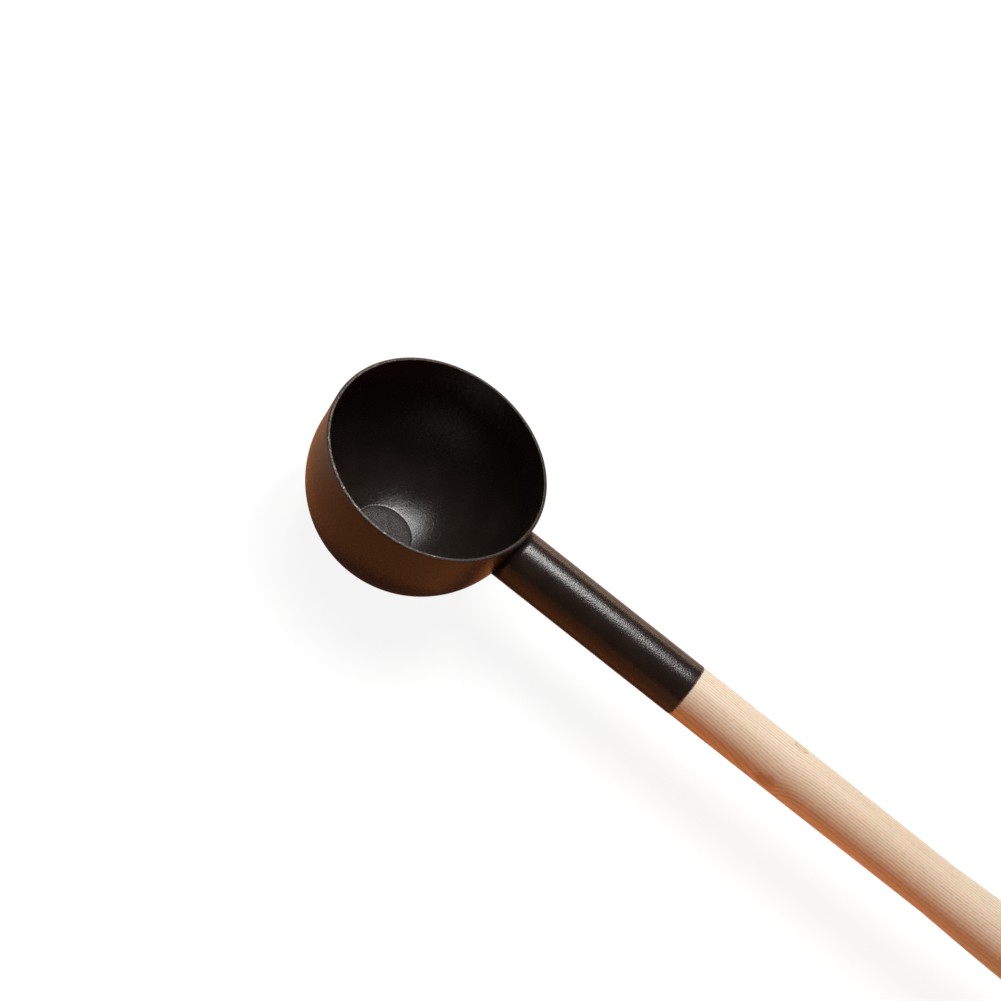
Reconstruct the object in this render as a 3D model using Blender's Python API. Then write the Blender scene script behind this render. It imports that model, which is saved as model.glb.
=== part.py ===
"""Sauna ladle: a spun metal cup, a socket tube coped to its side and a turned wooden handle.

Metres, +Z up. The origin is the middle of the cup's flat base, +Z is the cup's turning axis,
and the handle runs along +X, parallel to the rim.
"""
import math

import bmesh
import bpy
from mathutils import Matrix, Vector

# Clearance left between pieces that touch
SEAT_GAP = 0.0003

# Cup
CUP_OUTER_DIAMETER = 0.100
CUP_HEIGHT = 0.0675
CUP_WALL = 0.0016
CUP_UPRIGHT_WALL = 0.019
CUP_WALL_DRAFT = 0.0004
CUP_BASE_FLAT_DIAMETER = 0.0285
CUP_RIM_ROUND = 0.0005
CUP_FLOOR_STEP = 0.0003
CUP_FLOOR_STEP_WIDTH = 0.0006

# Socket tube, welded to the cup's side
TUBE_OUTER_DIAMETER = 0.025
TUBE_WALL = 0.0015
TUBE_LENGTH = 0.094
TUBE_TOP_BELOW_RIM = 0.0076
TUBE_END_ROUND = 0.0004

# Handle, from the tube's open end outwards
TENON_LENGTH = 0.080
TENON_CHAMFER = 0.0012
SHOULDER_STEP = 0.00015
SHOULDER_ROUND = 0.0003
SHOULDER_RUN = 0.045
WAIST_DIAMETER = 0.0242
TAPER_RUN = 0.093
BELLY_DIAMETER = 0.0272
SWELL_RUN = 0.062
END_RUN = 0.035
END_FLAT_DIAMETER = 0.006

# Screw that keeps the tenon in the tube, from below
SCREW_FROM_TUBE_END = 0.028
SCREW_SHANK_DIAMETER = 0.0035
SCREW_LENGTH = 0.016
SCREW_POINT_LENGTH = 0.004
SCREW_POINT_DIAMETER = 0.0006
SCREW_HEAD_DIAMETER = 0.007
SCREW_HEAD_HEIGHT = 0.0026
SCREW_HEAD_EDGE = 0.0009
SCREW_RECESS_WIDTH = 0.0038
SCREW_RECESS_SLOT = 0.0009
SCREW_RECESS_DEPTH = 0.0013

# How finely the round shapes are cut
CUP_SEGMENTS = 80
CUP_ARC_STEPS = 20
TUBE_SEGMENTS = 48
HANDLE_SEGMENTS = 48
HANDLE_STEPS = 9
SCREW_SEGMENTS = 24
ROUND_STEPS = 3
SMOOTH_ANGLE = math.radians(30)
MERGE_DISTANCE = 0.000001

# Places worked out from the sizes
CUP_RADIUS = CUP_OUTER_DIAMETER / 2
ARC_RADIUS = CUP_RADIUS - CUP_WALL_DRAFT
ARC_CENTRE_HEIGHT = CUP_HEIGHT - CUP_UPRIGHT_WALL
BASE_FLAT_RADIUS = CUP_BASE_FLAT_DIAMETER / 2
ARC_DEPTH = ARC_CENTRE_HEIGHT / math.sqrt(1 - (BASE_FLAT_RADIUS / ARC_RADIUS) ** 2)
TUBE_RADIUS = TUBE_OUTER_DIAMETER / 2
TUBE_BORE_RADIUS = TUBE_RADIUS - TUBE_WALL
TUBE_AXIS_HEIGHT = CUP_HEIGHT - TUBE_TOP_BELOW_RIM - TUBE_RADIUS
TUBE_END = CUP_RADIUS + TUBE_LENGTH
SHOULDER_AT = TUBE_END + SEAT_GAP
SHOULDER_RADIUS = TUBE_RADIUS - SHOULDER_STEP
TENON_RADIUS = TUBE_BORE_RADIUS - SEAT_GAP
SCREW_AT = TUBE_END - SCREW_FROM_TUBE_END
SCREW_HOLE_RADIUS = SCREW_SHANK_DIAMETER / 2 + SEAT_GAP
SCREW_SEAT_HEIGHT = TUBE_AXIS_HEIGHT - TUBE_RADIUS - SEAT_GAP


def clear_scene():
    """Remove whatever the scene holds."""
    for old in list(bpy.data.objects):
        bpy.data.objects.remove(old, do_unlink=True)


def make_material(name, colour, roughness, metallic):
    """A Principled material of one finish."""
    material = bpy.data.materials.new(name)
    material.use_nodes = True
    shader = material.node_tree.nodes["Principled BSDF"]
    shader.inputs["Base Color"].default_value = (*colour, 1.0)
    shader.inputs["Roughness"].default_value = roughness
    shader.inputs["Metallic"].default_value = metallic
    return material


def arc_points(centre, radius, start, end, steps):
    """Points of a round corner in a (radius, height) outline, both ends included."""
    angles = [start + (end - start) * step / steps for step in range(steps + 1)]
    return [(centre[0] + radius * math.cos(a), centre[1] + radius * math.sin(a)) for a in angles]


def spun_solid(name, outline, segments, closed=False):
    """Spin a (radius, height) outline once round Z into a closed solid.

    An open outline starts and ends on the axis. A closed one joins its last point to its first
    and makes a ring.
    """
    shape = bmesh.new()
    points = [shape.verts.new((radius, 0.0, height)) for radius, height in outline]
    edges = [shape.edges.new(pair) for pair in zip(points, points[1:])]
    if closed:
        edges.append(shape.edges.new((points[-1], points[0])))
    bmesh.ops.spin(shape, geom=points + edges, cent=(0, 0, 0), axis=(0, 0, 1),
                   angle=2 * math.pi, steps=segments, use_merge=True)
    bmesh.ops.remove_doubles(shape, verts=shape.verts, dist=MERGE_DISTANCE)
    bmesh.ops.recalc_face_normals(shape, faces=shape.faces)
    mesh = bpy.data.meshes.new(name)
    shape.to_mesh(mesh)
    shape.free()
    mesh.shade_smooth()
    mesh.set_sharp_from_angle(angle=SMOOTH_ANGLE)
    solid = bpy.data.objects.new(name, mesh)
    bpy.context.scene.collection.objects.link(solid)
    return solid


def lay_along_x(solid, height):
    """Turn a solid spun about Z so that its axis lies along +X at a height."""
    solid.rotation_euler = (0, math.pi / 2, 0)
    solid.location = (0, 0, height)


def hide_cutter(cutter):
    """Keep a cutting shape out of the model."""
    cutter.hide_render = True
    cutter.display_type = "WIRE"


def cut(solid, cutter, name):
    """Take a cutter away from a solid."""
    boolean = solid.modifiers.new(name, "BOOLEAN")
    boolean.operation = "DIFFERENCE"
    boolean.solver = "EXACT"
    boolean.object = cutter


def cup_arc(growth):
    """The rounded bottom, from the base up to the upright wall, grown outwards by a distance."""
    across = ARC_RADIUS + growth
    down = ARC_DEPTH + growth
    base_height = max(-growth, 0.0)
    start = math.acos((ARC_CENTRE_HEIGHT - base_height) / down)
    angles = [start + (math.pi / 2 - start) * step / CUP_ARC_STEPS for step in range(CUP_ARC_STEPS + 1)]
    return [(across * math.sin(a), ARC_CENTRE_HEIGHT - down * math.cos(a)) for a in angles]


def make_cup(coat):
    """The spun cup: flat base, rounded bottom, upright wall and a rim with softened edges."""
    outside = [(0.0, 0.0)] + cup_arc(0.0)
    inside = cup_arc(-CUP_WALL)
    rim_height = CUP_HEIGHT - CUP_RIM_ROUND
    outer_edge = arc_points((CUP_RADIUS - CUP_RIM_ROUND, rim_height), CUP_RIM_ROUND, 0.0, math.pi / 2,
                            ROUND_STEPS)
    inner_edge = arc_points((CUP_RADIUS - CUP_WALL + CUP_RIM_ROUND, rim_height), CUP_RIM_ROUND,
                            math.pi / 2, math.pi, ROUND_STEPS)
    floor_edge = inside[0][0]
    floor = [(floor_edge - CUP_FLOOR_STEP_WIDTH, CUP_WALL + CUP_FLOOR_STEP),
             (0.0, CUP_WALL + CUP_FLOOR_STEP)]
    outline = outside + outer_edge + inner_edge + inside[::-1] + floor
    cup = spun_solid("cup", outline, CUP_SEGMENTS)
    cup.data.materials.append(coat)
    return cup


def make_cope_cutter():
    """The cup's outer shape grown by the clearance, solid up to above the tube."""
    top = CUP_HEIGHT + TUBE_OUTER_DIAMETER
    arc = cup_arc(SEAT_GAP)
    outline = [(0.0, arc[0][1])] + arc + [(CUP_RADIUS + SEAT_GAP, top), (0.0, top)]
    cutter = spun_solid("cope_cutter", outline, CUP_SEGMENTS)
    hide_cutter(cutter)
    return cutter


def make_hole_cutter():
    """A round cutter for the screw, up through the tube's lower wall and into the tenon."""
    bottom = SCREW_SEAT_HEIGHT - SCREW_HEAD_HEIGHT
    top = SCREW_SEAT_HEIGHT + SCREW_LENGTH + SEAT_GAP
    outline = [(0.0, bottom), (SCREW_HOLE_RADIUS, bottom), (SCREW_HOLE_RADIUS, top), (0.0, top)]
    cutter = spun_solid("screw_hole_cutter", outline, SCREW_SEGMENTS)
    cutter.location = (SCREW_AT, 0, 0)
    hide_cutter(cutter)
    return cutter


def make_tube(coat, cope_cutter, hole_cutter):
    """The socket tube, its near end coped to the cup and its far end open for the tenon."""
    outer_edge = arc_points((TUBE_RADIUS - TUBE_END_ROUND, TUBE_END - TUBE_END_ROUND), TUBE_END_ROUND,
                            0.0, math.pi / 2, ROUND_STEPS)
    inner_edge = arc_points((TUBE_BORE_RADIUS + TUBE_END_ROUND, TUBE_END - TUBE_END_ROUND),
                            TUBE_END_ROUND, math.pi / 2, math.pi, ROUND_STEPS)
    outline = [(TUBE_RADIUS, 0.0)] + outer_edge + inner_edge + [(TUBE_BORE_RADIUS, 0.0)]
    tube = spun_solid("socket_tube", outline, TUBE_SEGMENTS, closed=True)
    lay_along_x(tube, TUBE_AXIS_HEIGHT)
    cut(tube, cope_cutter, "cope")
    cut(tube, hole_cutter, "screw_hole")
    tube.data.materials.append(coat)
    return tube


def handle_outline():
    """The handle's turned outline as (radius, place along X), from the tenon's tip to the far end."""
    tip = TUBE_END - TENON_LENGTH
    waist_radius = WAIST_DIAMETER / 2
    belly_radius = BELLY_DIAMETER / 2
    taper_from = SHOULDER_AT + SHOULDER_RUN
    waist_at = taper_from + TAPER_RUN
    belly_at = waist_at + SWELL_RUN
    outline = [(0.0, tip), (TENON_RADIUS - TENON_CHAMFER, tip), (TENON_RADIUS, tip + TENON_CHAMFER),
               (TENON_RADIUS, SHOULDER_AT)]
    shoulder_edge = arc_points((SHOULDER_RADIUS - SHOULDER_ROUND, SHOULDER_AT + SHOULDER_ROUND),
                               SHOULDER_ROUND, -math.pi / 2, 0.0, ROUND_STEPS)
    outline += shoulder_edge
    for step in range(HANDLE_STEPS + 1):
        share = step / HANDLE_STEPS
        ease = (1 - math.cos(math.pi * share)) / 2
        radius = SHOULDER_RADIUS + (waist_radius - SHOULDER_RADIUS) * ease
        outline.append((radius, taper_from + TAPER_RUN * share))
    for step in range(1, HANDLE_STEPS + 1):
        share = step / HANDLE_STEPS
        radius = waist_radius + (belly_radius - waist_radius) * math.sin(math.pi / 2 * share)
        outline.append((radius, waist_at + SWELL_RUN * share))
    end_flat = END_FLAT_DIAMETER / 2
    for step in range(1, HANDLE_STEPS + 1):
        turn = math.pi / 2 * step / HANDLE_STEPS
        radius = end_flat + (belly_radius - end_flat) * math.cos(turn)
        outline.append((radius, belly_at + END_RUN * math.sin(turn)))
    outline.append((0.0, belly_at + END_RUN))
    return outline


def make_handle(wood, hole_cutter):
    """The turned wooden handle with its tenon and the screw's pilot hole."""
    handle = spun_solid("handle", handle_outline(), HANDLE_SEGMENTS)
    lay_along_x(handle, TUBE_AXIS_HEIGHT)
    cut(handle, hole_cutter, "pilot_hole")
    handle.data.materials.append(wood)
    return handle


def make_slot_cutter(screw, turn):
    """One bar of the driver's cross-shaped recess, in the screw's own place."""
    shape = bmesh.new()
    bmesh.ops.create_cube(shape, size=1.0)
    bar = Matrix.Diagonal((SCREW_RECESS_WIDTH, SCREW_RECESS_SLOT, 2 * SCREW_RECESS_DEPTH, 1.0))
    place = Matrix.Translation((0, 0, -SCREW_HEAD_HEIGHT)) @ Matrix.Rotation(turn, 4, "Z") @ bar
    bmesh.ops.transform(shape, matrix=place, verts=shape.verts)
    mesh = bpy.data.meshes.new("slot_cutter")
    shape.to_mesh(mesh)
    shape.free()
    cutter = bpy.data.objects.new("slot_cutter", mesh)
    bpy.context.scene.collection.objects.link(cutter)
    cutter.location = screw.location
    hide_cutter(cutter)
    return cutter


def make_screw(steel):
    """A pan-head wood screw that stands up into the tenon from under the tube."""
    head_radius = SCREW_HEAD_DIAMETER / 2
    shank_radius = SCREW_SHANK_DIAMETER / 2
    dome = SCREW_HEAD_HEIGHT - SCREW_HEAD_EDGE
    outline = [(0.0, -SCREW_HEAD_HEIGHT)]
    for step in range(1, 2 * ROUND_STEPS + 1):
        turn = math.pi / 2 * step / (2 * ROUND_STEPS)
        outline.append((head_radius * math.sin(turn), -SCREW_HEAD_EDGE - dome * math.cos(turn)))
    outline += [(head_radius, 0.0), (shank_radius, 0.0), (shank_radius, SCREW_LENGTH - SCREW_POINT_LENGTH),
                (SCREW_POINT_DIAMETER / 2, SCREW_LENGTH), (0.0, SCREW_LENGTH)]
    screw = spun_solid("retaining_screw", outline, SCREW_SEGMENTS)
    screw.location = Vector((SCREW_AT, 0, SCREW_SEAT_HEIGHT))
    for name, turn in (("recess_along", 0.0), ("recess_across", math.pi / 2)):
        cut(screw, make_slot_cutter(screw, turn), name)
    screw.data.materials.append(steel)
    return screw


def build():
    """Make every piece of the ladle."""
    clear_scene()
    coat = make_material("black_powder_coat", (0.022, 0.019, 0.017), 0.42, 0.0)
    wood = make_material("pale_softwood", (0.76, 0.57, 0.38), 0.55, 0.0)
    steel = make_material("screw_steel", (0.55, 0.55, 0.56), 0.35, 1.0)
    cope_cutter = make_cope_cutter()
    hole_cutter = make_hole_cutter()
    make_cup(coat)
    make_tube(coat, cope_cutter, hole_cutter)
    make_handle(wood, hole_cutter)
    make_screw(steel)


build()
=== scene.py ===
"""Dresses the sauna ladle: a spun cup and socket tube in black powder coat, a turned softwood handle
and the screw that holds it.

Metres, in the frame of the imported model: the cup stands on its base at the origin with +Z as its
turning axis, and the handle runs along +X. Geometry Nodes turn each piece from its outline, and the
finishes are solid textures on object coordinates.
"""

import logging
import math
from collections.abc import Callable, Mapping, Sequence
from dataclasses import dataclass
from enum import Enum
from typing import Any

import bmesh
import bpy
from mathutils import Matrix, Vector


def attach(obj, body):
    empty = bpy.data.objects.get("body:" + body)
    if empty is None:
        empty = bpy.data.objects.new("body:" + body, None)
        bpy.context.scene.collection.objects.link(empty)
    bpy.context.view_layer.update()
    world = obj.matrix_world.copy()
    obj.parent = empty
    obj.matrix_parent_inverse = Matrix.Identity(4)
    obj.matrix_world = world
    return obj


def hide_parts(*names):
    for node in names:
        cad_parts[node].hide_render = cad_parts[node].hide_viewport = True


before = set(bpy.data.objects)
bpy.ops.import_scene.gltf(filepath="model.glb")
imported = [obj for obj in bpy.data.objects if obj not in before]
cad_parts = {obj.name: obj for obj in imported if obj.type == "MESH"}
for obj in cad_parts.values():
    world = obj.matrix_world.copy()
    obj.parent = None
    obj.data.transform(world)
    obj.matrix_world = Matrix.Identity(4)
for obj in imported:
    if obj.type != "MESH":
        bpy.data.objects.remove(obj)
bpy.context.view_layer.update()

BODY = "root"

log = logging.getLogger("ladle")

Object = bpy.types.Object
Material = bpy.types.Material
Socket = bpy.types.NodeSocket
Colour = tuple[float, float, float]
Place = tuple[float, float, float]
Point = tuple[float, float]
Span = tuple[float, float]


class Slot(Enum):
    """The record's material slots."""

    BLACK_COAT = "black_coat"
    SOFTWOOD = "softwood"
    SCREW_STEEL = "screw_steel"


class Lay(Enum):
    """How a turned piece's axis lies, as the turn that takes +Z to it."""

    UPRIGHT = (0.0, 0.0, 0.0)
    ALONG_HANDLE = (0.0, math.pi / 2, 0.0)


def operator(operation: str, turned: bool = False) -> Callable[["Value", "Value | float"], "Value"]:
    """An operator that adds a Math node.

    Args:
        operation: the node's operation.
        turned: whether the Value stands on the right of the sign.

    Returns:
        The operator as a method.
    """
    def method(value: "Value", other: "Value | float") -> "Value":
        """The operation on two numbers."""
        first, second = (other, value) if turned else (value, other)
        return value.nodes.math(operation, first, second)
    return method


def function(operation: str) -> Callable[["Value"], "Value"]:
    """A function of one number, as a method that adds a Math node with the given operation."""
    def method(value: "Value") -> "Value":
        """The operation on one number."""
        return value.nodes.math(operation, value)
    return method


class Value:
    """A number that varies over a surface or along a shape, as an output socket of a node tree.

    Arithmetic on it adds Math nodes, so a formula is written as a Python expression. Angles are in
    radians.
    """

    __add__ = operator("ADD")
    __radd__ = operator("ADD", turned=True)
    __sub__ = operator("SUBTRACT")
    __rsub__ = operator("SUBTRACT", turned=True)
    __mul__ = operator("MULTIPLY")
    __rmul__ = operator("MULTIPLY", turned=True)
    __truediv__ = operator("DIVIDE")
    __rtruediv__ = operator("DIVIDE", turned=True)
    __pow__ = operator("POWER")
    __rpow__ = operator("POWER", turned=True)
    least = operator("MINIMUM")
    most = operator("MAXIMUM")
    root = function("SQRT")
    sine = function("SINE")
    cosine = function("COSINE")
    fraction = function("FRACT")
    floor = function("FLOOR")

    def __init__(self, nodes: "Nodes", socket: Socket) -> None:
        """Wrap an output socket of a tree."""
        self.nodes = nodes
        self.socket = socket

    def __neg__(self) -> "Value":
        """The value with its sign turned."""
        return self * -1.0

    def fade(self) -> "Value":
        """A fade from 1 at zero to 0.37 at one and on towards 0."""
        return self.nodes.math("EXPONENT", -self)

    def bell(self) -> "Value":
        """A bell curve of the value: 1 at zero, 0.37 at plus or minus one."""
        return (self * self).fade()

    def step(self, low: float, high: float) -> "Value":
        """A soft step from 0 to 1 as the value goes from low to high."""
        share = self.nodes.math("DIVIDE", self - low, high - low, clamp=True)
        return share * share * (3.0 - 2.0 * share)


def opaque(colour: Socket | Colour) -> Socket | tuple[float, ...]:
    """A colour with full alpha, as a colour input takes it, or a socket as it is."""
    return (*colour, 1.0) if isinstance(colour, tuple) else colour


class Nodes:
    """A node tree as it is written: every node comes from `node`."""

    def __init__(self, tree: bpy.types.NodeTree) -> None:
        """Write into a tree."""
        self.tree = tree

    def node(self, kind: str, inputs: Mapping[str | int, Any] | None = None, output: str | int = 0,
             **settings: Any) -> Socket | None:
        """Add one node.

        Args:
            kind: the node's type name.
            inputs: what each input is fed with, by name or place.
            output: the output that is wanted, by name or place.
            settings: the node's properties, which are set first.

        Returns:
            That output's socket, or None for a node that has no output.
        """
        made = self.tree.nodes.new(kind)
        for name, value in settings.items():
            setattr(made, name, value)
        for name, value in (inputs or {}).items():
            self.feed(made.inputs[name], value)
        return made.outputs[output] if made.outputs else None

    def feed(self, socket: Socket, value: Any) -> None:
        """Give an input its value.

        Args:
            socket: the input.
            value: a number or colour to set, a Value or socket to link, or a list of sockets.
        """
        for source in value if isinstance(value, list) else [value]:
            if isinstance(source, Value):
                source = source.socket
            if isinstance(source, Socket):
                self.tree.links.new(source, socket)
            else:
                socket.default_value = source

    def math(self, operation: str, *operands: Value | float, clamp: bool = False) -> Value:
        """The result of one Math node on its operands in order, kept from 0 to 1 if it is clamped."""
        return Value(self, self.node("ShaderNodeMath", dict(enumerate(operands)), operation=operation,
                                     use_clamp=clamp))

    def split(self, vector: Socket) -> list[Value]:
        """The three parts of a vector."""
        parts = self.node("ShaderNodeSeparateXYZ", {"Vector": vector}).node
        return [Value(self, part) for part in parts.outputs]

    def join(self, x: Value | float, y: Value | float, z: Value | float) -> Socket:
        """A vector from its three parts."""
        return self.node("ShaderNodeCombineXYZ", {"X": x, "Y": y, "Z": z})

    def mapped(self, vector: Socket, **inputs: Sequence[float]) -> Socket:
        """Coordinates moved by a Location or multiplied by a Scale."""
        return self.node("ShaderNodeMapping", {"Vector": vector, **inputs})

    def painted(self, base: Socket | Colour, *coats: tuple[Value, Colour]) -> Socket:
        """A colour painted over.

        Args:
            base: the colour below.
            coats: colours from the lowest up, each with the share from 0 to 1 that it covers.

        Returns:
            The colour that shows.
        """
        for share, colour in coats:
            inputs = {0: share, 6: opaque(base), 7: opaque(colour)}
            base = self.node("ShaderNodeMix", inputs, output=2, data_type="RGBA")
        return base

    def relief(self, *layers: tuple[Value, float]) -> Socket:
        """A normal that is bent by relief.

        Args:
            layers: heights from 0 to 1 from the lowest up, each with the depth of 1 in metres.

        Returns:
            The bent normal.
        """
        below: dict[str, Socket] = {}
        for height, depth in layers:
            inputs = {"Height": height, "Distance": depth, "Strength": 1.0, **below}
            below = {"Normal": self.node("ShaderNodeBump", inputs)}
        return below["Normal"]


def added(name: str, data: bpy.types.ID) -> Object:
    """A new object of the scene."""
    made = bpy.data.objects.new(name, data)
    bpy.context.scene.collection.objects.link(made)
    return made


class Outline:
    """Half the section of a turned piece, as (radius, height) points from one end to the other."""

    CORNER_STEPS = 6

    def __init__(self, start: Point) -> None:
        """Begin at a point."""
        self.points: list[Point] = [start]

    def to(self, radius: float, height: float) -> "Outline":
        """A straight run to a point."""
        self.points.append((radius, height))
        return self

    def along(self, curve: Callable[[float], Point], steps: int) -> "Outline":
        """Points of a curve.

        Args:
            curve: gives a point for a share from 0 to 1.
            steps: how many steps are taken over it.

        Returns:
            The outline itself.
        """
        for step in range(steps + 1):
            self.to(*curve(step / steps))
        return self

    def corner(self, centre: Point, radius: float, start: float, end: float) -> "Outline":
        """A round corner.

        Args:
            centre: the arc's centre.
            radius: the arc's radius.
            start: the angle where it begins, from the outward direction.
            end: the angle where it ends.

        Returns:
            The outline itself.
        """
        def arc(share: float) -> Point:
            """One point of the corner."""
            angle = start + (end - start) * share
            return centre[0] + radius * math.cos(angle), centre[1] + radius * math.sin(angle)
        return self.along(arc, self.CORNER_STEPS)

    def mesh(self) -> bpy.types.Mesh:
        """The outline as a chain of points in a mesh, without its doubles."""
        kept = [self.points[0]]
        for point in self.points[1:]:
            if math.dist(point, kept[-1]) > Lathe.WELD:
                kept.append(point)
        chain = bpy.data.meshes.new("outline")
        chain.from_pydata([(radius, 0.0, height) for radius, height in kept],
                          [(n, n + 1) for n in range(len(kept) - 1)], [])
        return chain


class NodeShape:
    """A Geometry Nodes tree with named inputs, and the plain mesh that it makes."""

    def __init__(self, name: str) -> None:
        """Begin an empty tree that takes and gives a shape."""
        self.tree = bpy.data.node_groups.new(name, "GeometryNodeTree")
        self.nodes = Nodes(self.tree)
        self.identifiers: dict[str, str] = {}
        for way in ("INPUT", "OUTPUT"):
            self.tree.interface.new_socket("Geometry", in_out=way, socket_type="NodeSocketGeometry")
        self.taken = self.nodes.node("NodeGroupInput").node

    def input(self, name: str, kind: str) -> Socket:
        """A named input.

        Args:
            name: the input's name.
            kind: Float, Int, Vector or Material.

        Returns:
            The socket that gives its value inside the tree.
        """
        made = self.tree.interface.new_socket(name, in_out="INPUT", socket_type="NodeSocket" + kind)
        self.identifiers[name] = made.identifier
        return self.taken.outputs[name]

    def numbers(self, *names: str) -> list[Value]:
        """Named inputs that hold sizes."""
        return [Value(self.nodes, self.input(name, "Float")) for name in names]

    def moved(self, shape: Socket, **inputs: Socket) -> Socket:
        """A shape turned by a Rotation and then moved by a Translation."""
        return self.nodes.node("GeometryNodeTransform", {"Geometry": shape, **inputs})

    def reshaped(self, shape: Socket, position: Socket) -> Socket:
        """A shape with its points in new positions."""
        return self.nodes.node("GeometryNodeSetPosition", {"Geometry": shape, "Position": position})

    def cut(self, solid: Socket, tool: Socket) -> Socket:
        """A solid with another taken out of it."""
        return self.nodes.node("GeometryNodeMeshBoolean", {"Mesh 1": solid, "Mesh 2": tool},
                               operation="DIFFERENCE", solver="EXACT")

    def end(self, shape: Socket) -> None:
        """Close the tree with its realised shape in its finish."""
        nodes = self.nodes
        shape = nodes.node("GeometryNodeRealizeInstances", {"Geometry": shape})
        shape = nodes.node("GeometryNodeSetShadeSmooth", {"Geometry": shape})
        dressing = {"Geometry": shape, "Material": self.input("Finish", "Material")}
        nodes.node("NodeGroupOutput",
                   {"Geometry": nodes.node("GeometryNodeSetMaterial", dressing)})

    def make(self, name: str, outline: Outline, values: Mapping[str, Any]) -> Object:
        """Run the tree on an outline and keep the result as a plain object.

        Args:
            name: the new piece's name.
            outline: the outline that the tree takes.
            values: a value for each named input.

        Returns:
            The finished piece at the origin, unturned and unscaled.
        """
        worker = added("worker", outline.mesh())
        modifier = worker.modifiers.new("shape", "NODES")
        modifier.node_group = self.tree
        for label, value in values.items():
            modifier[self.identifiers[label]] = value
        graph = bpy.context.evaluated_depsgraph_get()
        mesh = bpy.data.meshes.new_from_object(worker.evaluated_get(graph), depsgraph=graph)
        worker.modifiers.remove(modifier)
        bpy.data.objects.remove(worker)
        shape = bmesh.new()
        shape.from_mesh(mesh)
        bmesh.ops.recalc_face_normals(shape, faces=shape.faces)
        shape.to_mesh(mesh)
        shape.free()
        mesh.name = name
        return added(name, mesh)


class Lathe(NodeShape):
    """Turns an outline once round its axis and lays the result in its place.

    A grid with one column for each outline point and one row for each segment is wrapped round the
    axis, and its seam and poles are welded.
    """

    WELD = 0.000001

    def __init__(self, name: str = "lathe") -> None:
        """Write the tree."""
        super().__init__(name)
        self.end(self.turned())

    def turned(self) -> Socket:
        """The nodes that turn the outline and lay it in its place."""
        nodes = self.nodes
        outline = self.taken.outputs["Geometry"]
        segments = Value(nodes, self.input("Segments", "Int"))
        rows = segments + 1.0
        points = nodes.node("GeometryNodeAttributeDomainSize", {"Geometry": outline}, component="MESH")
        grid = nodes.node("GeometryNodeMeshGrid", {"Vertices X": points, "Vertices Y": rows})
        index = Value(nodes, nodes.node("GeometryNodeInputIndex"))
        station = ((index + 0.5) / rows).floor()
        angle = (index - station * rows) / segments * math.tau
        position = nodes.node("GeometryNodeInputPosition")
        sample = nodes.node("GeometryNodeSampleIndex", {
            "Geometry": outline, "Value": position, "Index": station}, data_type="FLOAT_VECTOR")
        radius, _, height = nodes.split(sample)
        round_points = nodes.join(radius * angle.cosine(), radius * angle.sine(), height)
        wrapped = self.reshaped(grid, round_points)
        welded = nodes.node("GeometryNodeMergeByDistance", {"Geometry": wrapped, "Distance": self.WELD})
        return self.moved(welded, Translation=self.input("Place", "Vector"),
                          Rotation=self.input("Turn", "Vector"))


class PiercedLathe(Lathe):
    """A turned piece with an upright round hole for the screw."""

    HOLE_SIDES = 32

    def turned(self) -> Socket:
        """The turned piece, fitted to its neighbour and then pierced."""
        fitted = self.fitted(super().turned())
        radius, length = self.numbers("Hole radius", "Hole length")
        drill = self.nodes.node("GeometryNodeMeshCylinder", {
            "Vertices": self.HOLE_SIDES, "Radius": radius, "Depth": length}, fill_type="NGON")
        drill = self.moved(drill, Translation=self.input("Hole middle", "Vector"))
        return self.cut(fitted, drill)

    def fitted(self, piece: Socket) -> Socket:
        """The piece as it is turned, which fits as it is."""
        return piece


class CopedLathe(PiercedLathe):
    """A turned tube whose near end is cut to the cup's wall, with a hole for the screw."""

    def fitted(self, piece: Socket) -> Socket:
        """The tube drawn in along its length until its near end follows the cup."""
        nodes = self.nodes
        start, end = self.numbers("Nominal start", "Far end")
        across, down, middle = self.numbers("Cup arc radius", "Cup arc depth", "Cup arc centre height")
        top, draft = self.numbers("Cup height", "Wall draft")
        x, y, z = nodes.split(nodes.node("GeometryNodeInputPosition"))
        depth = (middle - z).most(0.0) / down
        level_radius = across * (1.0 - depth * depth).root()
        level_radius = level_radius + draft * (z - middle).most(0.0) / (top - middle)
        wall = (level_radius * level_radius - y * y).root()
        drawn = wall + (x - start) / (end - start) * (end - wall)
        return self.reshaped(piece, nodes.join(drawn, y, z))


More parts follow.
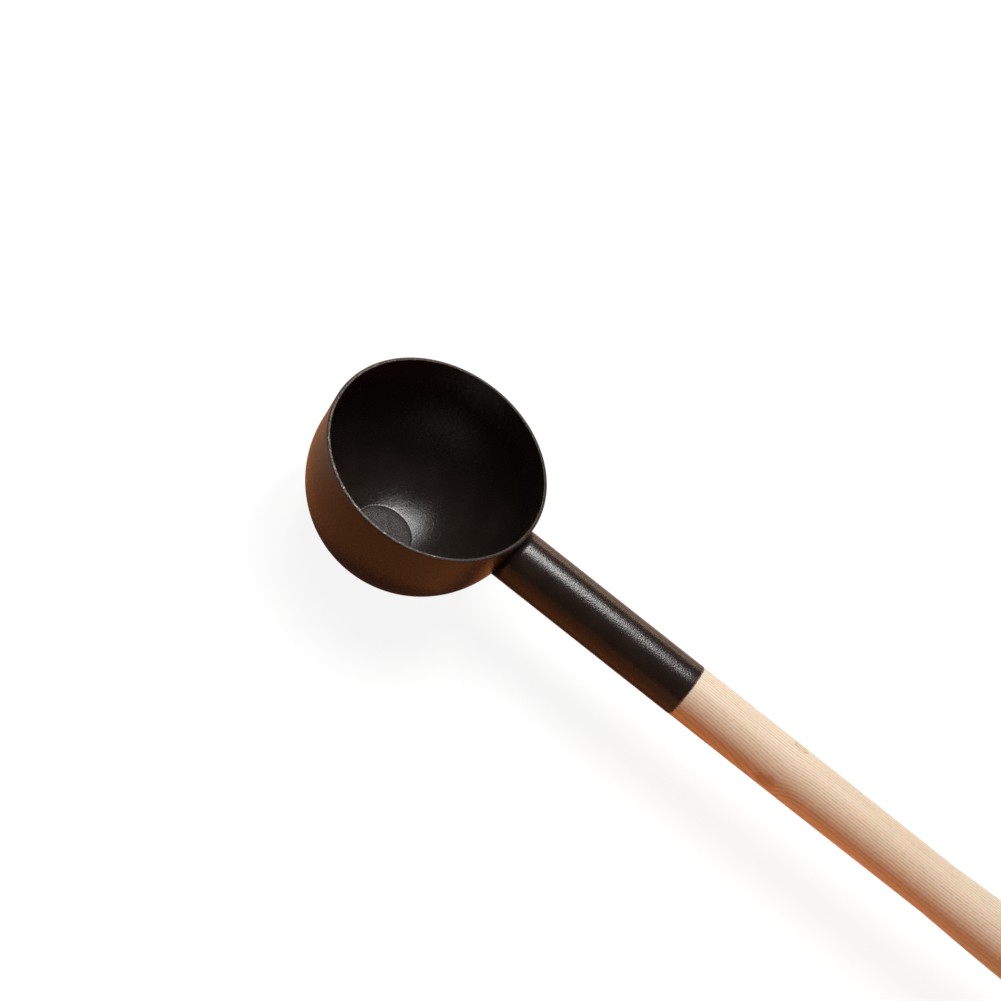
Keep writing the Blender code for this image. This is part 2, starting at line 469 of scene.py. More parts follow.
class DrivenScrew(Lathe):
    """A turned screw with a cross recess in its head and a thread wound round its shank."""

    THREAD_STEPS = 24
    RIDGE_SIDES = 6

    def turned(self) -> Socket:
        """The turned screw with its recess cut and its thread added."""
        nodes = self.nodes
        body = super().turned()
        width, slot, depth, head = self.numbers("Recess width", "Recess slot", "Recess depth",
                                                "Head height")
        for across, along in ((width, slot), (slot, width)):
            bar = nodes.node("GeometryNodeMeshCube", {"Size": nodes.join(across, along, depth * 2.0)})
            body = self.cut(body, self.placed(bar, -head))
        joined = nodes.node("GeometryNodeJoinGeometry", {"Geometry": [body, self.thread()]})
        return nodes.node("GeometryNodeMeshBoolean", {"Mesh 2": joined}, operation="UNION",
                          solver="EXACT")

    def thread(self) -> Socket:
        """The thread: a six-sided ridge along a spiral round the shank."""
        nodes = self.nodes
        start, turns, radius = self.numbers("Thread start", "Thread turns", "Thread radius")
        length, ridge = self.numbers("Thread length", "Thread ridge")
        spiral = nodes.node("GeometryNodeCurveSpiral", {
            "Resolution": self.THREAD_STEPS, "Rotations": turns, "Start Radius": radius,
            "End Radius": radius, "Height": length})
        section = nodes.node("GeometryNodeCurvePrimitiveCircle", {
            "Resolution": self.RIDGE_SIDES, "Radius": ridge}, mode="RADIUS")
        wound = nodes.node("GeometryNodeCurveToMesh",
                           {"Curve": spiral, "Profile Curve": section, "Fill Caps": True})
        return self.placed(wound, start)

    def placed(self, shape: Socket, height: Value) -> Socket:
        """A shape moved up the screw's axis, and then to where the screw stands."""
        raised = self.moved(shape, Translation=self.nodes.join(0.0, 0.0, height))
        return self.moved(raised, Translation=self.taken.outputs["Place"])


class Finish:
    """A Principled material that is written as nodes on object coordinates."""

    def __init__(self, name: str) -> None:
        """Begin a material with its shader and its coordinates."""
        self.material = bpy.data.materials.new(name)
        self.material.use_nodes = True
        self.nodes = Nodes(self.material.node_tree)
        self.place = self.nodes.node("ShaderNodeTexCoord", output="Object")

    def done(self, inputs: Mapping[str, Any]) -> Material:
        """Feed the shader's inputs, by name, and give the material."""
        shader = self.material.node_tree.nodes["Principled BSDF"]
        for name, value in inputs.items():
            self.nodes.feed(shader.inputs[name], value)
        return self.material


@dataclass(frozen=True)
class Noise:
    """Smooth noise from 0 to 1.

    The size is that of its lumps in metres. The layers are how many finer ones lie on them, and the
    roughness is how strong these are. A squeeze below 1 draws the lumps out along X.
    """

    size: float
    layers: float = 2.0
    roughness: float = 0.5
    squeeze: float = 1.0

    def on(self, finish: Finish) -> Value:
        """The noise over a finish."""
        place = finish.place
        if self.squeeze != 1.0:
            place = finish.nodes.mapped(place, Scale=(self.squeeze, 1.0, 1.0))
        return Value(finish.nodes, finish.nodes.node("ShaderNodeTexNoise", {
            "Vector": place, "Scale": 1.0 / self.size, "Detail": self.layers,
            "Roughness": self.roughness}))


@dataclass(frozen=True)
class PowderCoat:
    """Fine-textured satin black powder coat, with pale beads on the cup's rim and the tube's end.

    The pale beads are partly wear and partly a painted highlight on those edges; on the rim they are
    painted strongest away from the handle and fade on the handle's side, where less light falls.
    A soft step rises over each span, and an inset is a pair of distances short of an edge.
    """

    colour: Colour = (0.0142, 0.0100, 0.0079)
    pale: Colour = (0.0185, 0.0132, 0.0104)
    lip: Colour = (0.020, 0.014, 0.011)
    # Pale bead colour: partly wear, partly a painted highlight on the rim and the tube's end.
    wear_and_highlight: Colour = (0.235, 0.176, 0.145)
    refraction: float = 1.5
    roughness: float = 0.24
    grain: Noise = Noise(0.00060, 2.0, 0.6)
    grain_roughness: float = 0.30
    grain_depth: float = 0.000092
    patches: Noise = Noise(0.011, 3.0, 0.55)
    patch_span: Span = (0.35, 0.70)
    patch_roughness: float = 0.08
    peel: Noise = Noise(0.0030, 1.0, 0.5)
    peel_depth: float = 0.000036
    beads: Noise = Noise(0.0009, 2.0, 0.7)
    bead_span: Span = (0.46, 0.60)
    bead_roughness: float = 0.27
    bead_depth: float = 0.00016
    lip_inset: Span = (0.0005, 0.0002)
    lip_roughness: float = 0.22
    wall_inset: Span = (0.0009, 0.00045)
    # The next three fields fade the rim's painted highlight on the handle's side, where less light falls.
    highlight_fade: float = 0.85
    highlight_fade_turn: float = 30.0
    highlight_fade_span: Span = (-0.030, 0.020)

    def material(self, rim: Point | None, end: float = 0.0) -> Material:
        """Write the material.

        Args:
            rim: the radius and height of the cup's rim, or None for the tube.
            end: where the tube ends along the handle.

        Returns:
            The material.
        """
        finish = Finish("powder_coat_cup" if rim else "powder_coat_tube")
        nodes = finish.nodes
        grain = self.grain.on(finish)
        patches = self.patches.on(finish)
        beads = self.beads.on(finish).step(*self.bead_span)
        x, y, z = nodes.split(finish.place)
        if rim:
            lip = self.near(z, rim[1], self.lip_inset)
            inside = 1.0 - self.near((x * x + y * y).root(), rim[0], self.wall_inset)
            turn = math.radians(self.highlight_fade_turn)
            # Painted highlight: the rim's pale beads fade on the handle's side, where less light falls.
            unlit_side = (x * math.cos(turn) + y * math.sin(turn)).step(*self.highlight_fade_span)
            wear_and_highlight = lip * inside * (1.0 - unlit_side * self.highlight_fade)
        else:
            # The tube's whole end edge takes the pale beads: partly wear, partly a painted highlight.
            lip = self.near(x, end, self.lip_inset)
            wear_and_highlight = lip
        colour = nodes.painted(self.colour, (patches.step(*self.patch_span), self.pale),
                               (lip, self.lip), (wear_and_highlight * beads, self.wear_and_highlight))
        rough = self.roughness + (grain - 0.5) * self.grain_roughness
        rough = rough + (patches - 0.5) * self.patch_roughness
        rough = rough + lip * (self.lip_roughness - beads * self.bead_roughness)
        relief = nodes.relief((self.peel.on(finish), self.peel_depth), (grain, self.grain_depth),
                              (lip * beads, self.bead_depth))
        return finish.done({"Base Color": colour, "Roughness": rough, "Normal": relief,
                            "IOR": self.refraction})

    @staticmethod
    def near(value: Value, edge: float, inset: Span) -> Value:
        """A soft step from 0 to 1 between two distances short of an edge."""
        return value.step(edge - inset[0], edge - inset[1])


@dataclass(frozen=True)
class Softwood:
    """Pale sanded softwood, quarter sawn, with growth rings round a far pith and one branch in it.

    Angles go round the handle from straight up towards +Y. The pith lies beside the handle, and a
    thin branch grows from it through the handle and comes out on both sides as a knot, which the
    rings sway round. A soft step rises over each span. A ring's late wood comes and goes over spans
    of its year.
    """

    early: Colour = (0.82, 0.72, 0.585)
    late: Colour = (0.56, 0.415, 0.28)
    warm: Colour = (0.80, 0.675, 0.52)
    warmth: Noise = Noise(0.0035, squeeze=0.05)
    warmth_gain: float = 1.1
    warmth_span: Span = (0.3, 0.8)
    ring: float = 0.00117
    ring_depth: float = 0.00002
    pith_angle: float = 60.0
    pith_distance: float = 0.050
    drift: Noise = Noise(0.016, squeeze=0.12)
    drift_reach: float = 0.0016
    ripple: Noise = Noise(0.0045, squeeze=0.25)
    ripple_reach: float = 0.00045
    late_comes: Span = (0.25, 0.82)
    late_goes: Span = (0.88, 1.0)
    faintest_year: float = 0.5
    dashes: Noise = Noise(0.0006, 2.0, 0.6, squeeze=0.40)
    dash_span: Span = (0.36, 0.60)
    faintest_dash: float = 0.35
    fibres: Noise = Noise(0.00022, 2.0, 0.6, squeeze=0.012)
    fibre_from: float = 0.46
    fibre_share: float = 1.3
    fibre_depth: float = 0.00003
    branch_at: float = 0.1950
    branch_slant: float = -0.22
    branch_aside: float = 0.0060
    branch_spread: float = 0.066
    branch_stretch: float = 1.35
    sway_at: float = 0.1965
    sway: float = 0.0021
    sway_growth: float = 0.16
    sway_least: float = 0.0003
    sway_before: float = 0.0255
    sway_after: float = 0.0080
    sway_sharpness: float = 1.5
    sway_aside: float = 0.016
    knot: Colour = (0.55, 0.37, 0.20)
    knot_span: Span = (0.50, 1.12)
    knot_share: float = 0.40
    knot_growth: float = 12.0
    knot_rings: float = 4.0
    knot_ring_share: float = 0.2
    wobble: Noise = Noise(0.004, 3.0, 0.6)
    wobble_share: float = 0.5
    rind: Colour = (0.30, 0.15, 0.06)
    rind_at: float = 0.93
    rind_width: float = 0.13
    rind_share: float = 0.42
    rind_loss: float = 26.0
    rind_least: float = 0.08
    flecks: Noise = Noise(0.0013, 2.0, 0.6, squeeze=0.5)
    fleck_span: Span = (0.48, 0.66)
    roughness: float = 0.56
    fibre_roughness: float = 0.14
    late_gloss: float = 0.05
    refraction: float = 1.45
    glow_through: float = 0.45
    glow_reach: Colour = (0.0045, 0.0020, 0.0010)

    def material(self, axis_height: float) -> Material:
        """Write the material.

        Args:
            axis_height: the height of the handle's axis.

        Returns:
            The material.
        """
        finish = Finish("softwood_handle")
        nodes = finish.nodes
        finish.place = nodes.mapped(finish.place, Location=(0.0, 0.0, -axis_height))
        x, y, z = nodes.split(finish.place)
        angle = math.radians(self.pith_angle)
        outward = -(y * math.sin(angle) + z * math.cos(angle))
        aside = y * math.cos(angle) - z * math.sin(angle)
        from_pith = outward + self.pith_distance
        beside = aside + self.branch_aside
        radius = (from_pith * from_pith + aside * aside).root() - self.swayed(x, outward, beside)
        band, strength = self.rings(finish, radius)
        fibres = self.fibres.on(finish)
        warmth = (self.warmth.on(finish) * self.warmth_gain).step(*self.warmth_span)
        dark_fibres = (fibres - self.fibre_from).most(0.0) * self.fibre_share
        along = (x - outward * self.branch_slant - self.branch_at) / self.branch_stretch
        knot = (along * along + beside * beside).root() / (from_pith * self.branch_spread)
        knot = knot + (self.wobble.on(finish) - 0.5) * self.wobble_share
        colour = nodes.painted(self.early, (warmth, self.warm), (strength, self.late),
                               (dark_fibres, self.late), *self.knot_coats(finish, knot, outward))
        rough = self.roughness + (fibres - 0.5) * self.fibre_roughness - strength * self.late_gloss
        relief = nodes.relief((fibres, self.fibre_depth), (band, self.ring_depth))
        return finish.done({
            "Base Color": colour, "Roughness": rough, "Normal": relief,
            "Subsurface Weight": self.glow_through, "Subsurface Radius": self.glow_reach,
            "Subsurface Scale": 1.0, "IOR": self.refraction})

    def swayed(self, x: Value, outward: Value, beside: Value) -> Value:
        """How far the branch pushes the rings away from the pith.

        Args:
            x: the place along the handle.
            outward: the distance from the handle's axis, away from the pith.
            beside: the distance across the handle from the branch.

        Returns:
            The distance in metres.
        """
        past = x - self.sway_at
        reach = (-past).most(0.0) / self.sway_before + past.most(0.0) / self.sway_after
        sway = (outward * self.sway_growth + self.sway).most(self.sway_least)
        return sway * (reach ** self.sway_sharpness).fade() * (beside / self.sway_aside).bell()

    def rings(self, finish: Finish, radius: Value) -> tuple[Value, Value]:
        """The growth rings.

        Args:
            finish: the material that they are drawn in.
            radius: the distance from the pith.

        Returns:
            The bands of late wood, and their strength, which changes by the year and in dashes.
        """
        drift = (self.drift.on(finish) - 0.5) * self.drift_reach
        ripple = (self.ripple.on(finish) - 0.5) * self.ripple_reach
        years = (radius + drift + ripple) / self.ring
        phase = years.fraction()
        band = phase.step(*self.late_comes) * (1.0 - phase.step(*self.late_goes))
        chance = Value(finish.nodes, finish.nodes.node("ShaderNodeTexWhiteNoise", {"W": years.floor()},
                                                       noise_dimensions="1D"))
        year = chance * (1.0 - self.faintest_year) + self.faintest_year
        dashes = self.dashes.on(finish).step(*self.dash_span)
        return band, band * year * (dashes * (1.0 - self.faintest_dash) + self.faintest_dash)

    def knot_coats(self, finish: Finish, knot: Value, outward: Value) -> list[tuple[Value, Colour]]:
        """The knot and its flecked rind.

        Args:
            finish: the material that they are drawn in.
            knot: the distance from the branch's middle, where 1 is its edge.
            outward: the distance from the handle's axis, away from the pith.

        Returns:
            Each one's share over the wood, and its colour.
        """
        share = self.knot_share + outward * self.knot_growth
        share = share + (knot * self.knot_rings).fraction() * self.knot_ring_share
        heart = (1.0 - knot.step(*self.knot_span)) * share
        flecks = self.flecks.on(finish).step(*self.fleck_span)
        rind = ((knot - self.rind_at) / self.rind_width).bell() * flecks
        rind = rind * (self.rind_share - outward * self.rind_loss).most(self.rind_least)
        return [(heart, self.knot), (rind, self.rind)]


@dataclass(frozen=True)
class ScrewSteel:
    """Plain stainless steel with dull clouds and fine turning marks round the screw's axis."""

    colour: Colour = (0.56, 0.55, 0.54)
    dull: Colour = (0.36, 0.35, 0.34)
    clouds: Noise = Noise(0.0016, 3.0, 0.6)
    cloud_span: Span = (0.35, 0.75)
    cloud_roughness: float = 0.15
    roughness: float = 0.30
    mark_spacing: float = 0.00018
    mark_depth: float = 0.000006

    def material(self, axis_at: float) -> Material:
        """Write the material.

        Args:
            axis_at: where the screw's upright axis stands along the handle.

        Returns:
            The material.
        """
        finish = Finish("stainless_screw")
        nodes = finish.nodes
        x, y, _ = nodes.split(nodes.mapped(finish.place, Location=(-axis_at, 0.0, 0.0)))
        marks = ((x * x + y * y).root() * (math.tau / self.mark_spacing)).sine() * 0.5 + 0.5
        clouds = self.clouds.on(finish)
        return finish.done({
            "Base Color": nodes.painted(self.colour, (clouds.step(*self.cloud_span), self.dull)),
            "Metallic": 1.0, "Roughness": self.roughness + clouds * self.cloud_roughness,
            "Normal": nodes.relief((marks, self.mark_depth))})


@dataclass(frozen=True)
class Cup:
    """The spun cup: a flat base, a rounded bottom, an upright wall and a cut rim.

    The disc that shows on its floor stands a soft step above it, with a flat border. The middle and
    the lift of the base's round are shares of its size.
    """

    outer_diameter: float = 0.100
    height: float = 0.0675
    wall: float = 0.0016
    upright_wall: float = 0.019
    wall_draft: float = 0.0004
    base_flat_diameter: float = 0.0285
    base_round: float = 0.0012
    base_round_middle: Point = (0.45, 0.02)
    base_round_lift: float = 0.12
    rim_slope: float = 9.0
    rim_outer_round: float = 0.00080
    rim_inner_round: float = 0.00035
    floor_step: float = 0.0003
    floor_step_width: float = 0.0011
    floor_border: float = 0.0033
    segments: int = 240
    arc_steps: int = 72
    floor_steps: int = 6
    coat: PowderCoat = PowderCoat()

    @property
    def radius(self) -> float:
        """The rim's outer radius."""
        return self.outer_diameter / 2

    @property
    def arc_radius(self) -> float:
        """The rounded bottom's half width."""
        return self.radius - self.wall_draft

    @property
    def arc_centre(self) -> float:
        """The height where the rounded bottom meets the upright wall."""
        return self.height - self.upright_wall

    @property
    def arc_depth(self) -> float:
        """The rounded bottom's half height, which makes its flat as wide as stated."""
        return self.arc_centre / math.sqrt(1 - (self.base_flat_diameter / 2 / self.arc_radius) ** 2)

    def bottom(self, growth: float, lowest: float) -> Callable[[float], Point]:
        """The rounded bottom as a curve from its lowest point up to the upright wall.

        Args:
            growth: how far it lies outside the cup's outer face.
            lowest: the height that it starts from.

        Returns:
            The curve.
        """
        across = self.arc_radius + growth
        down = self.arc_depth + growth
        start = math.acos((self.arc_centre - lowest) / down)

        def curve(share: float) -> Point:
            """One point of the bottom."""
            angle = start + (math.pi / 2 - start) * share
            return across * math.sin(angle), self.arc_centre - down * math.cos(angle)
        return curve

    def outline(self) -> Outline:
        """The cup's section, from the middle of its underside round the rim to its floor's middle."""
        outside = self.bottom(0.0, self.base_round * self.base_round_lift)
        inside = self.bottom(-self.wall, self.wall)
        base_edge = outside(0.0)[0]
        tilt = math.radians(90.0 - self.rim_slope)
        inner = (self.radius - self.wall + self.rim_inner_round, self.height - self.rim_inner_round)
        outer_radius = self.radius - self.rim_outer_round
        gap = self.rim_inner_round - self.rim_outer_round - math.cos(tilt) * (outer_radius - inner[0])
        outer = (outer_radius, inner[1] + gap / math.sin(tilt))
        outline = Outline((0.0, 0.0)).to(base_edge - self.base_round, 0.0)
        outline.to(base_edge - self.base_round * self.base_round_middle[0],
                   self.base_round * self.base_round_middle[1])
        outline.along(outside, self.arc_steps)
        outline.corner(outer, self.rim_outer_round, 0.0, tilt)
        outline.corner(inner, self.rim_inner_round, tilt, math.pi)
        outline.along(lambda share: inside(1.0 - share), self.arc_steps)
        foot = inside(0.0)[0]
        top = self.wall + self.floor_step
        outline.along(lambda share: (foot - self.floor_step_width * share,
                                     self.wall + self.floor_step * (1 - math.cos(math.pi * share)) / 2),
                      self.floor_steps)
        return outline.to(foot - self.floor_border, top).to(0.0, top)

    def build(self, lathe: Lathe) -> Object:
        """Turn the cup and dress it."""
        values = {"Segments": self.segments, "Place": (0.0, 0.0, 0.0), "Turn": Lay.UPRIGHT.value,
                  "Finish": self.coat.material((self.radius, self.height))}
        return lathe.make("spun_cup", self.outline(), values)


@dataclass(frozen=True)
class SocketTube:
    """The tube that is coped to the cup and holds the handle's tenon."""

    cup: Cup
    outer_diameter: float = 0.025
    wall: float = 0.0015
    length: float = 0.094
    top_below_rim: float = 0.0076
    end_round: float = 0.0004
    gap: float = 0.0003
    weld_sink: float = 0.00005
    segments: int = 144
    length_steps: int = 24
    coat: PowderCoat = PowderCoat()

    @property
    def radius(self) -> float:
        """The tube's outer radius."""
        return self.outer_diameter / 2

    @property
    def bore(self) -> float:
        """The tube's inner radius."""
        return self.radius - self.wall

    @property
    def axis_height(self) -> float:
        """The height of the tube's axis, which is the handle's too."""
        return self.cup.height - self.top_below_rim - self.radius

    @property
    def end(self) -> float:
        """Where the tube ends along the handle."""
        return self.cup.radius + self.length

    def outline(self) -> Outline:
        """The tube's section as a closed ring, before its near end is coped."""
        start = self.cup.radius
        edge = self.end - self.end_round
        outline = Outline((self.radius, start))
        outline.along(lambda share: (self.radius, start + (edge - start) * share), self.length_steps)
        outline.corner((self.radius - self.end_round, edge), self.end_round, 0.0, math.pi / 2)
        outline.corner((self.bore + self.end_round, edge), self.end_round, math.pi / 2, math.pi)
        outline.along(lambda share: (self.bore, edge + (start - edge) * share), self.length_steps)
        return outline.to(self.radius, start)

    def build(self, lathe: CopedLathe, screw: "Screw") -> Object:
        """Turn the tube, cope it to the cup, drill it for the screw and dress it."""
        cup = self.cup
        values = {"Segments": self.segments, "Place": (0.0, 0.0, self.axis_height),
                  "Turn": Lay.ALONG_HANDLE.value, "Nominal start": cup.radius, "Far end": self.end,
                  "Cup arc radius": cup.arc_radius - self.weld_sink,
                  "Cup arc depth": cup.arc_depth - self.weld_sink,
                  "Cup arc centre height": cup.arc_centre, "Cup height": cup.height,
                  "Wall draft": cup.wall_draft, "Finish": self.coat.material(None, self.end),
                  **screw.hole(self)}
        return lathe.make("coped_tube", self.outline(), values)


@dataclass(frozen=True)
class Handle:
    """The turned handle: a tenon, a shoulder, a slight waist and a swollen, rounded end."""

    tube: SocketTube
    tenon_length: float = 0.080
    tenon_chamfer: float = 0.0012
    shoulder_step: float = 0.00015
    shoulder_round: float = 0.0003
    shoulder_run: float = 0.045
    waist_diameter: float = 0.0242
    taper_run: float = 0.093
    belly_diameter: float = 0.0272
    swell_run: float = 0.062
    end_run: float = 0.035
    end_flat_diameter: float = 0.006
    segments: int = 160
    shoulder_steps: int = 12
    steps: int = 36
    wood: Softwood = Softwood()

    def outline(self) -> Outline:
        """The handle's section, from the tenon's tip to the far end."""
        tenon = self.tube.bore - self.tube.gap
        tip = self.tube.end - self.tenon_length
        shoulder = self.tube.radius - self.shoulder_step
        shoulder_at = self.tube.end + self.tube.gap
        waist = self.waist_diameter / 2
        belly = self.belly_diameter / 2
        flat = self.end_flat_diameter / 2
        taper_from = shoulder_at + self.shoulder_run
        waist_at = taper_from + self.taper_run
        belly_at = waist_at + self.swell_run
        outline = Outline((0.0, tip)).to(tenon - self.tenon_chamfer, tip)
        outline.to(tenon, tip + self.tenon_chamfer).to(tenon, shoulder_at)
        outline.corner((shoulder - self.shoulder_round, shoulder_at + self.shoulder_round),
                       self.shoulder_round, -math.pi / 2, 0.0)
        outline.along(lambda share: (shoulder, shoulder_at + self.shoulder_round
                                     + (self.shoulder_run - self.shoulder_round) * share),
                      self.shoulder_steps)
        outline.along(lambda share: (shoulder + (waist - shoulder) * (1 - math.cos(math.pi * share)) / 2,
                                     taper_from + self.taper_run * share), self.steps)
        outline.along(lambda share: (waist + (belly - waist) * math.sin(math.pi / 2 * share),
                                     waist_at + self.swell_run * share), self.steps)
        outline.along(lambda share: (flat + (belly - flat) * math.cos(math.pi / 2 * share),
                                     belly_at + self.end_run * math.sin(math.pi / 2 * share)), self.steps)
        return outline.to(0.0, belly_at + self.end_run)

    def build(self, lathe: PiercedLathe, screw: "Screw") -> Object:
        """Turn the handle, drill its pilot hole and dress it."""
        values = {"Segments": self.segments, "Place": (0.0, 0.0, self.tube.axis_height),
                  "Turn": Lay.ALONG_HANDLE.value, "Finish": self.wood.material(self.tube.axis_height),
                  **screw.hole(self.tube)}
        return lathe.make("turned_handle", self.outline(), values)


@dataclass(frozen=True)
class Screw:
    """The pan-head screw that keeps the tenon in the tube, driven from below."""

    from_tube_end: float = 0.028
    shank_diameter: float = 0.0035
    core_diameter: float = 0.0026
    length: float = 0.016
    plain_shank: float = 0.0030
    point_length: float = 0.004
    point_diameter: float = 0.0006
    head_diameter: float = 0.007
    head_height: float = 0.0026
    head_edge: float = 0.0009
    head_break: float = 0.0001
    shank_taper: float = 0.0004
    recess_width: float = 0.0038
    recess_slot: float = 0.0009
    recess_depth: float = 0.0013
    thread_pitch: float = 0.0013
    segments: int = 48
    dome_steps: int = 14
    steel: ScrewSteel = ScrewSteel()

    def at(self, tube: SocketTube) -> float:
        """Where the screw stands along the handle."""
        return tube.end - self.from_tube_end

    def seat(self, tube: SocketTube) -> float:
        """The height of the face under the head."""
        return tube.axis_height - tube.radius - tube.gap

    def hole(self, tube: SocketTube) -> dict[str, Any]:
        """The inputs of the hole that the screw goes through."""
        bottom = self.seat(tube) - self.head_height
        top = self.seat(tube) + self.length + tube.gap
        return {"Hole radius": self.shank_diameter / 2 + tube.gap, "Hole length": top - bottom,
                "Hole middle": (self.at(tube), 0.0, (top + bottom) / 2)}

    def outline(self) -> Outline:
        """The screw's section, from the middle of its head up to its point, with the seat at zero."""
        head = self.head_diameter / 2
        core = self.core_diameter / 2
        dome = self.head_height - self.head_edge
        outline = Outline((0.0, -self.head_height))
        outline.along(lambda share: (head * math.sin(math.pi / 2 * share),
                                     -self.head_edge - dome * math.cos(math.pi / 2 * share)),
                      self.dome_steps)
        outline.to(head, -self.head_break).to(head - self.head_break, 0.0)
        outline.to(self.shank_diameter / 2, 0.0).to(self.shank_diameter / 2, self.plain_shank)
        outline.to(core, self.plain_shank + self.shank_taper)
        outline.to(core, self.length - self.point_length)
        return outline.to(self.point_diameter / 2, self.length).to(0.0, self.length)

    def build(self, lathe: DrivenScrew, tube: SocketTube) -> Object:
        """Turn the screw, cut its recess, wind its thread and dress it."""
        length = self.length - self.point_length - self.plain_shank
        ridge = (self.shank_diameter - self.core_diameter) / 4
        values = {"Segments": self.segments, "Place": (self.at(tube), 0.0, self.seat(tube)),
                  "Turn": Lay.UPRIGHT.value, "Recess width": self.recess_width,
                  "Recess slot": self.recess_slot, "Recess depth": self.recess_depth,
                  "Head height": self.head_height, "Thread turns": length / self.thread_pitch,
                  "Thread radius": self.shank_diameter / 2 - ridge, "Thread length": length,
                  "Thread ridge": ridge, "Thread start": self.plain_shank,
                  "Finish": self.steel.material(self.at(tube))}
        return lathe.make("pan_head_screw", self.outline(), values)


@dataclass(frozen=True)
class SoftBox:
    """An oval soft lamp that faces the ladle, sized by the angles it fills as seen from there."""

    name: str
    towards: Place
    width: float
    depth: float
    glow: Colour
    distance: float = 1.1
    target: Place = (0.06, 0.0, 0.05)

    def build(self) -> None:
        """Hang the lamp with its width along the handle and its depth across it."""
        across = 2 * self.distance * math.tan(math.radians(self.width / 2))
        along = 2 * self.distance * math.tan(math.radians(self.depth / 2))
        data = bpy.data.lights.new(self.name, "AREA")
        data.shape = "ELLIPSE"
        data.size = across
        data.size_y = along
        brightest = max(self.glow)
        data.energy = brightest * math.pi * (math.pi * across * along / 4)
        data.color = tuple(part / brightest for part in self.glow)
        lamp = added(self.name, data)
        out = Vector(self.towards).normalized()
        level = (Vector((1.0, 0.0, 0.0)) - out * out.x).normalized()
        turn = Matrix((level, out.cross(level), out)).transposed().to_4x4()
        lamp.matrix_world = Matrix.Translation(Vector(self.target) + out * self.distance) @ turn
        lamp.visible_camera = False


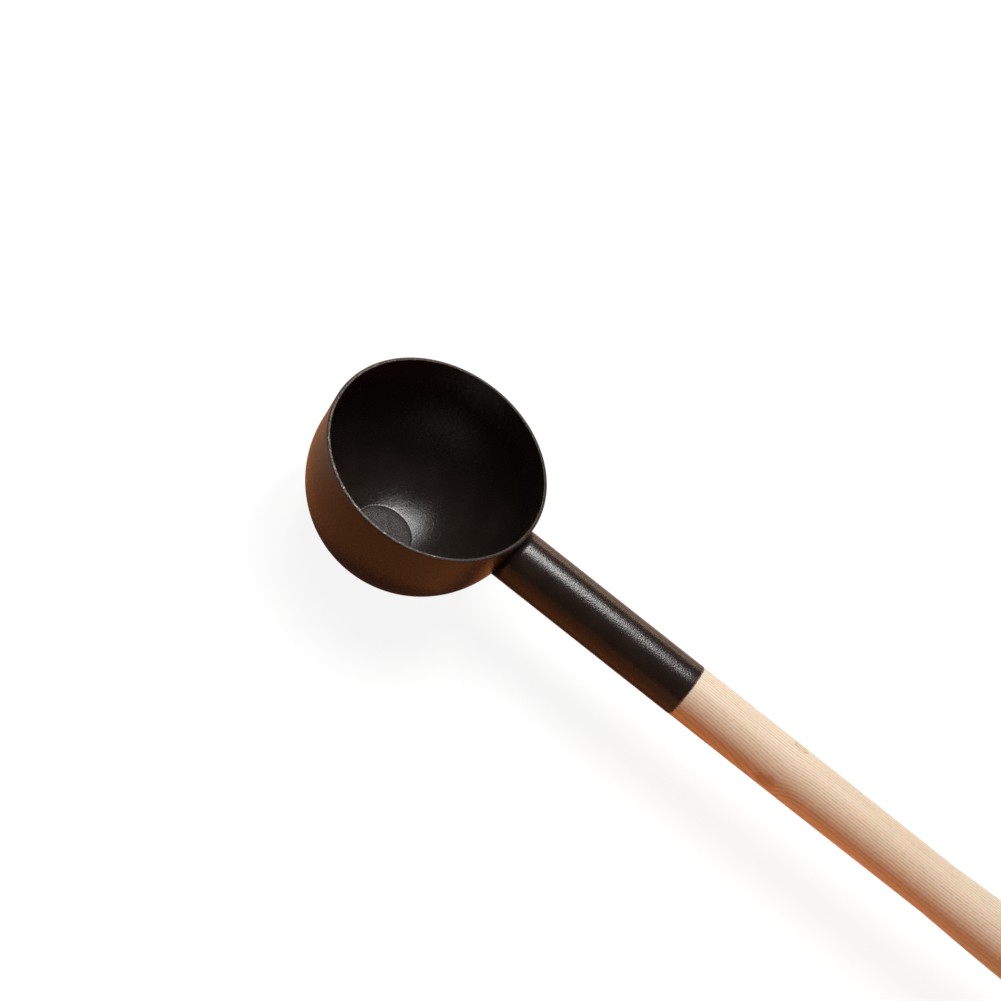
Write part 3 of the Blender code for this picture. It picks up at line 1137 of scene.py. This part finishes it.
@dataclass(frozen=True)
class Studio:
    """The floor, the backdrop, the lamps and the camera.

    The camera sees floor and backdrop white, and the floor glows a little less where the lamps light
    it too. To the ladle's own surfaces the floor is a warm board that mostly reflects under the cup
    and glows further off, in its own colour before the cup, the tube and the handle, and behind and
    to the left of them. Each span is a pair of places on the floor.
    """

    floor_size: float = 8.0
    floor_drop: float = 0.0002
    floor_glow: float = 0.90
    floor_glow_span: Span = (0.3, 2.2)
    floor_colour: Colour = (0.12, 0.12, 0.12)
    board: Colour = (0.64, 0.215, 0.062)
    under: float = 0.08
    under_span: Span = (0.13, 0.27)
    before_cup: Colour = (0.35, 0.125, 0.045)
    before_tube: Colour = (1.06, 0.43, 0.235)
    tube_span: Span = (0.11, 0.22)
    before_handle: Colour = (0.54, 0.255, 0.145)
    handle_span: Span = (0.20, 0.34)
    behind: Colour = (0.90, 0.61, 0.45)
    behind_span: Span = (-0.01, 0.13)
    left_span: Span = (0.02, 0.15)
    air: Colour = (0.035, 0.022, 0.015)
    white: Colour = (1.0, 1.0, 1.0)
    glossy_share: float = 0.02
    lamps: tuple[SoftBox, ...] = (
        SoftBox("key", towards=(-0.055, 0.250, 0.966), width=13.0, depth=29.0, glow=(25.3, 25.0, 24.7)),
        SoftBox("back_panel", towards=(0.0, 0.975, 0.225), width=34.0, depth=10.0, glow=(4.3, 2.9, 2.2)),
        SoftBox("front_glow", towards=(0.75, -0.62, 0.25), width=45.0, depth=20.0, glow=(2.3, 0.72, 0.13)),
        SoftBox("left_panel", towards=(-0.37, 0.17, 0.91), width=14.0, depth=34.0, glow=(13.2, 13.1, 13.0)),
    )
    lens: float = 86.31
    nearest: float = 0.01
    camera_place: Place = (0.0239, -0.6381, 0.8471)
    camera_right: Place = (0.78438, 0.47555, 0.39825)
    camera_down: Place = (0.62024, -0.60915, -0.49421)

    def seen(self, nodes: Nodes) -> Value:
        """The share of the white studio that a ray sees: all of it for the camera and through glass."""
        path = nodes.node("ShaderNodeLightPath").node
        names = ("Camera", "Transmission", "Glossy")
        camera, glass, mirror = (Value(nodes, path.outputs["Is %s Ray" % name]) for name in names)
        return (camera + glass + mirror * self.glossy_share).least(1.0)

    @staticmethod
    def lit(nodes: Nodes, kind: str, colour: Socket | Colour) -> Socket:
        """A shader of one kind in one colour."""
        return nodes.node("ShaderNode" + kind, {"Color": opaque(colour)})

    @staticmethod
    def mixed(nodes: Nodes, share: Value, low: Socket, high: Socket) -> Socket:
        """A shader between two: a share of 0 gives the first and 1 the second."""
        return nodes.node("ShaderNodeMixShader", {0: share, 1: low, 2: high})

    def build_floor(self) -> None:
        """A wide pale floor: white to the camera, with the ladle's shadow, and warm in its bounce."""
        mesh = bpy.data.meshes.new("floor")
        half = self.floor_size / 2
        corners = [(-half, -half), (half, -half), (half, half), (-half, half)]
        mesh.from_pydata([(x, y, -self.floor_drop) for x, y in corners], [], [(0, 1, 2, 3)])
        floor = added("floor", mesh)
        material = bpy.data.materials.new("floor")
        material.use_nodes = True
        material.node_tree.nodes.clear()
        nodes = Nodes(material.node_tree)
        x, y, _ = nodes.split(nodes.node("ShaderNodeTexCoord", output="Object"))
        distance = (x * x + y * y).root()
        strength = distance.step(*self.floor_glow_span) * (1.0 - self.floor_glow) + self.floor_glow
        glow = nodes.node("ShaderNodeEmission", {"Strength": strength})
        white = nodes.node("ShaderNodeAddShader",
                           {0: self.lit(nodes, "BsdfDiffuse", self.floor_colour), 1: glow})
        behind = y.step(*self.behind_span).most((-x).step(*self.left_span))
        warm = nodes.painted(self.before_cup, (x.step(*self.tube_span), self.before_tube),
                             (x.step(*self.handle_span), self.before_handle), (behind, self.behind))
        away = (distance.step(*self.under_span) * (1.0 - self.under) + self.under).most(behind)
        ground = self.mixed(nodes, away, self.lit(nodes, "BsdfDiffuse", self.board),
                            self.lit(nodes, "Emission", warm))
        nodes.node("ShaderNodeOutputMaterial",
                   {"Surface": self.mixed(nodes, self.seen(nodes), ground, white)})
        mesh.materials.append(material)

    def build_backdrop(self) -> None:
        """A white backdrop for the camera and dim warm air for the light that fills the shadows."""
        world = bpy.data.worlds.new("studio")
        world.use_nodes = True
        world.node_tree.nodes.clear()
        nodes = Nodes(world.node_tree)
        air, white = (self.lit(nodes, "Background", colour) for colour in (self.air, self.white))
        nodes.node("ShaderNodeOutputWorld",
                   {"Surface": self.mixed(nodes, self.seen(nodes), air, white)})
        bpy.context.scene.world = world

    def build_camera(self) -> None:
        """The camera at the photograph's place and angle."""
        data = bpy.data.cameras.new("camera")
        data.lens = self.lens
        data.clip_start = self.nearest
        camera = added("camera", data)
        right = Vector(self.camera_right).normalized()
        up = -Vector(self.camera_down)
        up = (up - right * up.dot(right)).normalized()
        turn = Matrix((right, up, right.cross(up))).transposed().to_4x4()
        camera.matrix_world = Matrix.Translation(Vector(self.camera_place)) @ turn
        bpy.context.scene.camera = camera

    def build(self) -> None:
        """Set up the studio round the ladle."""
        bpy.context.scene.view_settings.view_transform = "Standard"
        self.build_camera()
        self.build_floor()
        self.build_backdrop()
        for lamp in self.lamps:
            lamp.build()


def seat(piece: Object, node: str) -> None:
    """Let a piece ride on the ladle in place of a solid, and report it.

    Args:
        piece: the finished piece.
        node: the solid that it stands for.
    """
    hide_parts(node)
    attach(piece, BODY)
    log.info("%s stands for %s: %d faces", piece.name, node, len(piece.data.polygons))


def main() -> None:
    """Build the ladle and its studio."""
    logging.basicConfig(level=logging.INFO, format="%(message)s")
    cup = Cup()
    tube = SocketTube(cup)
    handle = Handle(tube)
    screw = Screw()
    seat(cup.build(Lathe()), "cup")
    seat(tube.build(CopedLathe("coped_lathe"), screw), "socket_tube")
    seat(handle.build(PiercedLathe("pierced_lathe"), screw), "handle")
    seat(screw.build(DrivenScrew("driven_screw"), tube), "retaining_screw")
    Studio().build()


if __name__ == "__main__":
    main()
